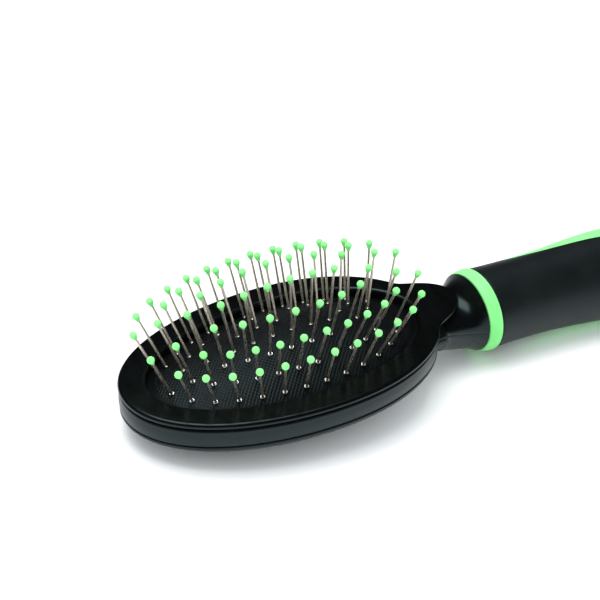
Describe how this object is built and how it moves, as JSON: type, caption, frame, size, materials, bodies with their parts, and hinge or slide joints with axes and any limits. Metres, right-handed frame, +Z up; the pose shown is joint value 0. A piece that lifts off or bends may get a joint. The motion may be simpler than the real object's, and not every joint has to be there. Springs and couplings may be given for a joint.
{
  "type": "pet pin brush",
  "caption": "Oval air-cushion pin brush for pets: ball-tipped steel pins on a sprung rubber pad, soft two-colour handle.",
  "frame": {"origin": "on the surface the brush lies on, under the middle of its bounding box", "axes": "+X from the head's toe to the handle's end, +Z up, the way the pins point; the brush lies on its back with the handle level"},
  "size_m": [0.2243, 0.0624, 0.0451],
  "materials": {
    "black_gloss": "glossy black moulded plastic",
    "black_satin": "satin black moulded plastic",
    "black_rubber": "black rubber with a fine crossed weave pressed into its face",
    "black_grip": "soft-touch black rubber, fine matte",
    "mint": "satin mint green plastic",
    "steel": "bright nickel-plated steel wire",
    "inner_plastic": "dark moulded plastic, out of sight"
  },
  "bodies": {
    "head_and_handle": {"face_plate": "black_gloss", "head_body": "black_satin", "back_shell": "black_satin", "chamber_board": "inner_plastic", "pad_clamp_ring": "inner_plastic", "cushion_pad": "black_rubber", "neck_spigot": "inner_plastic", "accent_ring": "mint", "handle_core": "mint", "grip_panel_far": "black_grip", "grip_panel_near": "black_grip", "end_cap": "black_gloss"},
    "pin_field_centre": {"pins_centre": "steel"},
    "pin_field_third": {"pins_third": "steel"},
    "pin_field_second": {"pins_second": "steel"},
    "pin_field_outer": {"pins_outer": "steel"}
  },
  "joints": [
    {"name": "press_centre", "type": "slide", "parent": "head_and_handle", "child": "pin_field_centre", "axis": [-0.0745, 0, 0.9972], "range_m": [-0.005, 0], "stiffness_N_per_m": 2000, "deforming": ["cushion_pad"]},
    {"name": "press_third", "type": "slide", "parent": "head_and_handle", "child": "pin_field_third", "axis": [-0.0745, 0, 0.9972], "range_m": [-0.00425, 0], "stiffness_N_per_m": 2000},
    {"name": "press_second", "type": "slide", "parent": "head_and_handle", "child": "pin_field_second", "axis": [-0.0745, 0, 0.9972], "range_m": [-0.003, 0], "stiffness_N_per_m": 2000},
    {"name": "press_outer", "type": "slide", "parent": "head_and_handle", "child": "pin_field_outer", "axis": [-0.0745, 0, 0.9972], "range_m": [-0.00135, 0], "stiffness_N_per_m": 2000}
  ],
  "couplings": [
    {"joint": "press_third", "follows": "press_centre", "ratio": 0.85},
    {"joint": "press_second", "follows": "press_centre", "ratio": 0.6},
    {"joint": "press_outer", "follows": "press_centre", "ratio": 0.27}
  ]
}
